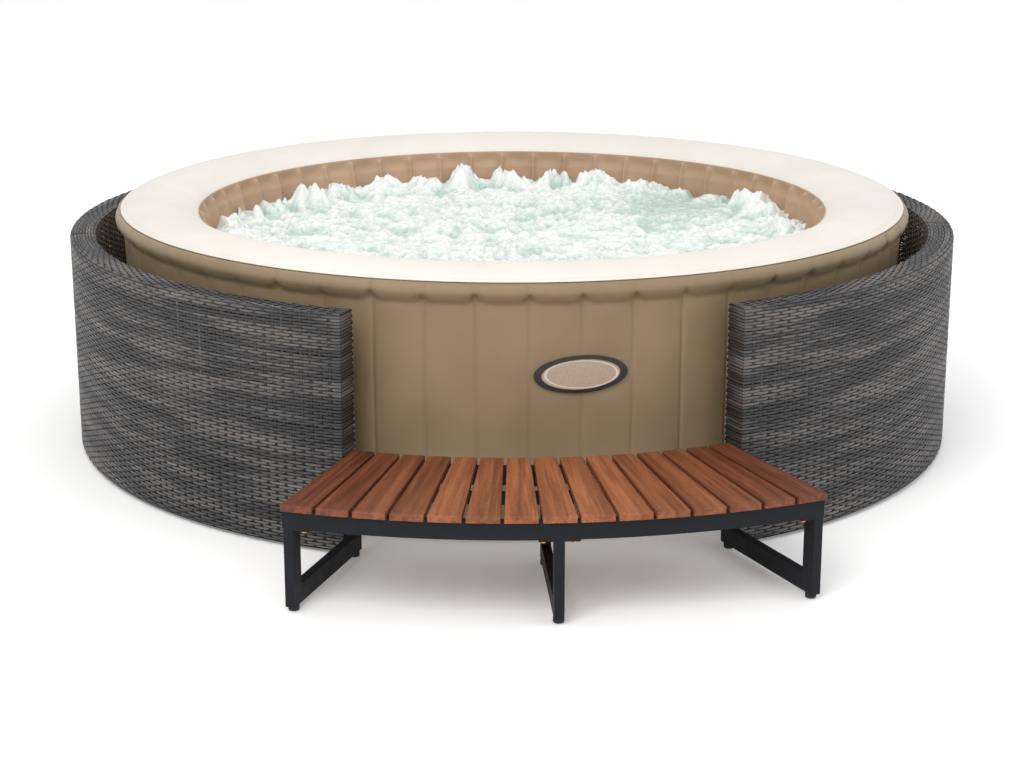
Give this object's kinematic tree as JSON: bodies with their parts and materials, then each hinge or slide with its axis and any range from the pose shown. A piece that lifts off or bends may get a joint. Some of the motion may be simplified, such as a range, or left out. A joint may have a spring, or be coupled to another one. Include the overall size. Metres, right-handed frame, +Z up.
{
  "type": "inflatable hot tub",
  "caption": "Round inflatable hot tub with quilted fabric walls inside a woven surround, with a curved slatted step on sled legs in front.",
  "frame": {"origin": "on the ground, at the axis of the round tub", "axes": "+Z up, -Y towards the opening in the surround where the step stands, +X to the right of someone facing the tub from behind the step looking along +Y"},
  "size_m": [2.4158, 2.7502, 0.6618],
  "materials": {
    "wall_fabric": "satin tan coated fabric",
    "bath_fabric": "satin pinkish tan coated fabric",
    "ring_fabric": "satin cream coated fabric",
    "floor_fabric": "matte tan coated fabric",
    "web_fabric": "white tie fabric",
    "badge_ring": "gloss black",
    "badge_plate": "satin beige, blank",
    "fitting_plastic": "moulded dark grey",
    "nut_plastic": "moulded light grey",
    "filter_paper": "pleated filter cloth",
    "wicker": "flat woven resin strand, mottled grey",
    "frame_steel": "powder-coated black",
    "step_steel": "powder-coated charcoal",
    "slat_wood": "oiled reddish hardwood",
    "bolt_brass": "copper-coloured plating",
    "bolt_steel": "zinc plated",
    "foot_rubber": "black"
  },
  "bodies": {
    "tub": {"tub_floor": "floor_fabric", "tub_outer_wall": "wall_fabric", "tub_inner_wall": "bath_fabric", "tub_top_ring": "ring_fabric", "wall_webs": "web_fabric", "bubble_channel": "bath_fabric", "badge_ring": "badge_ring", "badge_plate": "badge_plate", "inlet_port": "fitting_plastic", "outlet_port": "fitting_plastic", "air_port": "fitting_plastic", "inflation_valve_body": "fitting_plastic", "drain_body": "fitting_plastic", "filter_housing": "fitting_plastic", "filter_cartridge": "filter_paper", "outlet_strainer": "fitting_plastic", "panel_glides": "foot_rubber", "panel_joining_bolts": "bolt_steel", "woven_panel_front_left": "wicker", "panel_frame_front_left": "frame_steel", "woven_panel_front_right": "wicker", "panel_frame_front_right": "frame_steel", "woven_panel_rear_left": "wicker", "panel_frame_rear_left": "frame_steel", "woven_panel_rear_right": "wicker", "panel_frame_rear_right": "frame_steel"},
    "inlet_nut": {"inlet_union_nut": "nut_plastic"},
    "outlet_nut": {"outlet_union_nut": "nut_plastic"},
    "air_nut": {"air_union_nut": "nut_plastic"},
    "valve_cap": {"inflation_valve_cap": "nut_plastic"},
    "drain_cap": {"drain_cap": "nut_plastic"},
    "filter_cap": {"filter_cap": "nut_plastic"},
    "step": {"slat_screws": "bolt_steel", "leg_bolts": "bolt_brass", "step_frame": "step_steel", "step_leg_left": "step_steel", "step_leg_centre": "step_steel", "step_leg_right": "step_steel", "step_slat_01": "slat_wood", "step_slat_02": "slat_wood", "step_slat_03": "slat_wood", "step_slat_04": "slat_wood", "step_slat_05": "slat_wood", "step_slat_06": "slat_wood", "step_slat_07": "slat_wood", "step_slat_08": "slat_wood", "step_slat_09": "slat_wood", "step_slat_10": "slat_wood", "step_slat_11": "slat_wood", "step_slat_12": "slat_wood", "step_slat_13": "slat_wood", "step_slat_14": "slat_wood", "step_slat_15": "slat_wood"},
    "foot_front_left": {"step_foot_front_left": "foot_rubber"},
    "foot_rear_left": {"step_foot_rear_left": "foot_rubber"},
    "foot_front_centre": {"step_foot_front_centre": "foot_rubber"},
    "foot_rear_centre": {"step_foot_rear_centre": "foot_rubber"},
    "foot_front_right": {"step_foot_front_right": "foot_rubber"},
    "foot_rear_right": {"step_foot_rear_right": "foot_rubber"}
  },
  "joints": [
    {"name": "inlet_nut_turn", "type": "hinge", "parent": "tub", "child": "inlet_nut", "pos_m": [0.21714, 1.06254, 0.17], "axis": [0.2002, 0.9798, 0], "continuous": true},
    {"name": "outlet_nut_turn", "type": "hinge", "parent": "tub", "child": "outlet_nut", "pos_m": [-0.15936, 1.07273, 0.17], "axis": [-0.1469, 0.9891, 0], "continuous": true},
    {"name": "air_nut_turn", "type": "hinge", "parent": "tub", "child": "air_nut", "pos_m": [-0.03375, 1.08397, 0.33], "axis": [-0.0311, 0.9995, 0], "continuous": true},
    {"name": "valve_cap_flip", "type": "hinge", "parent": "tub", "child": "valve_cap", "pos_m": [0.09206, 1.07757, 0.4952], "axis": [0.9964, -0.0851, 0], "range_deg": [0, 110]},
    {"name": "drain_cap_turn", "type": "hinge", "parent": "tub", "child": "drain_cap", "pos_m": [0.09147, 1.0706, 0.105], "axis": [0.0851, 0.9964, 0], "continuous": true},
    {"name": "filter_cap_turn", "type": "hinge", "parent": "tub", "child": "filter_cap", "pos_m": [0.15017, 0.73481, 0.17], "axis": [0.2002, 0.9798, 0], "range_deg": [0, 60]},
    {"name": "step_slide", "type": "slide", "parent": "tub", "child": "step", "axis": [0, -1, 0], "range_m": [0, 0.4]},
    {"name": "foot_front_left_screw", "type": "slide", "parent": "step", "child": "foot_front_left", "axis": [0, 0, -1], "range_m": [0, 0.01]},
    {"name": "foot_front_centre_screw", "type": "slide", "parent": "step", "child": "foot_front_centre", "axis": [0, 0, -1], "range_m": [0, 0.01]},
    {"name": "foot_front_right_screw", "type": "slide", "parent": "step", "child": "foot_front_right", "axis": [0, 0, -1], "range_m": [0, 0.01]},
    {"name": "foot_rear_left_screw", "type": "slide", "parent": "step", "child": "foot_rear_left", "axis": [0, 0, -1], "range_m": [0, 0.01]},
    {"name": "foot_rear_centre_screw", "type": "slide", "parent": "step", "child": "foot_rear_centre", "axis": [0, 0, -1], "range_m": [0, 0.01]},
    {"name": "foot_rear_right_screw", "type": "slide", "parent": "step", "child": "foot_rear_right", "axis": [0, 0, -1], "range_m": [0, 0.01]}
  ]
}
